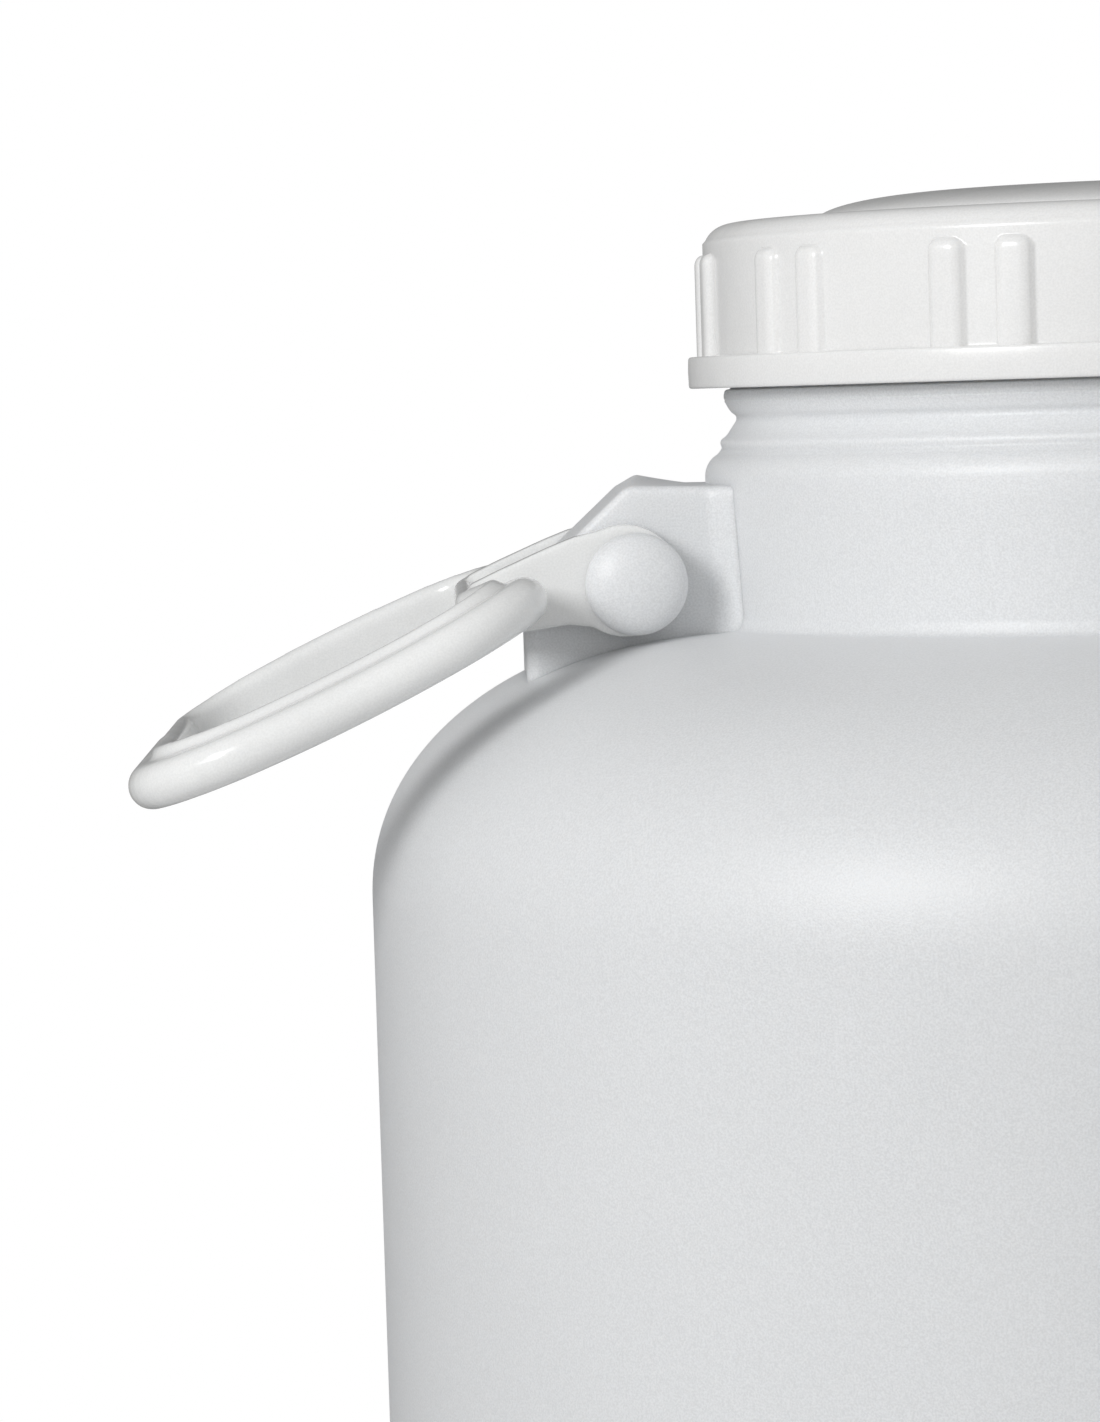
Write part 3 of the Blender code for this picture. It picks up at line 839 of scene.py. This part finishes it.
def make_studio():
    """Make a white surround, brighter from the front, and a soft key light at the left."""
    world = bpy.data.worlds.new("studio")
    bpy.context.scene.world = world
    world.use_nodes = True
    tree = world.node_tree
    background = tree.nodes["Background"]
    background.inputs["Color"].default_value = (1.0, 1.0, 1.0, 1.0)
    direction = tree.nodes.new("ShaderNodeTexCoord")
    axes = tree.nodes.new("ShaderNodeSeparateXYZ")
    tree.links.new(direction.outputs["Generated"], axes.inputs["Vector"])
    ambient = spread(tree, axes.outputs["Y"], AMBIENT_FRONT, AMBIENT_BACK, -0.3, 0.6)
    path = tree.nodes.new("ShaderNodeLightPath")
    strength = tree.nodes.new("ShaderNodeMix")
    tree.links.new(path.outputs["Is Camera Ray"], strength.inputs["Factor"])
    tree.links.new(ambient, strength.inputs["A"])
    strength.inputs["B"].default_value = 1.0
    tree.links.new(strength.outputs["Result"], background.inputs["Strength"])
    turn = radians(KEY_TURN)
    rise = radians(KEY_RISE)
    away = Vector((sin(turn) * cos(rise), -cos(turn) * cos(rise), sin(rise)))
    place = KEY_TARGET + away * KEY_DISTANCE
    area_light("key", place, KEY_TARGET, KEY_SIZE, KEY_SIZE, KEY_POWER)
    bpy.context.scene.view_settings.view_transform = "Standard"


def turn_to(direction, up):
    """Return the rotation whose columns are right, up and back for a view along the direction."""
    back = -direction.normalized()
    right = up.cross(back).normalized()
    return Matrix((right, back.cross(right), back)).transposed()


def make_camera():
    """Make the camera that sees the drum's axis where the photograph does, with its slight roll."""
    width, height = PHOTO_SIZE
    data = bpy.data.cameras.new("camera")
    data.sensor_width = 36.0
    data.lens = data.sensor_width * FOCAL_PIXELS / height
    camera = bpy.data.objects.new("camera", data)
    bpy.context.scene.collection.objects.link(camera)
    bpy.context.scene.camera = camera
    level = Vector((-CAMERA_PLACE.x, -CAMERA_PLACE.y, 0.0))
    seen = turn_to(level, Vector((0.0, 0.0, 1.0))) @ Matrix.Rotation(-CAMERA_ROLL, 3, "Z")
    pixel = Vector((AXIS_PIXEL[0] - width / 2, height / 2 - AXIS_PIXEL[1], -FOCAL_PIXELS))
    within = turn_to(pixel, Vector((0.0, 1.0, 0.0)))
    camera.matrix_world = Matrix.Translation(CAMERA_PLACE) @ (seen @ within.transposed()).to_4x4()


def main():
    """Dress the frame and set the studio."""
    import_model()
    make_camera()
    drum_look = drum_material()
    for piece in make_drum():
        dress(piece, drum_look, "drum", "drum_body")
    # The cap's last value is the painted shade on its top disc
    cap_look = gloss_material(
        "cap_plastic_look", (0.79, 0.79, 0.785), (0.82, 0.82, 0.815), 0.22, 0.0008, 0.85)
    dress(make_cap(), cap_look, "drum", "cap")
    handle_look = gloss_material(
        "handle_plastic_look", (0.78, 0.785, 0.78), (0.82, 0.825, 0.82), 0.15, 0.0006)
    left, right = make_handles()
    dress(left, handle_look, "left_handle", "handle_left")
    dress(right, handle_look, "right_handle", "handle_right")
    make_floor()
    make_studio()


main()
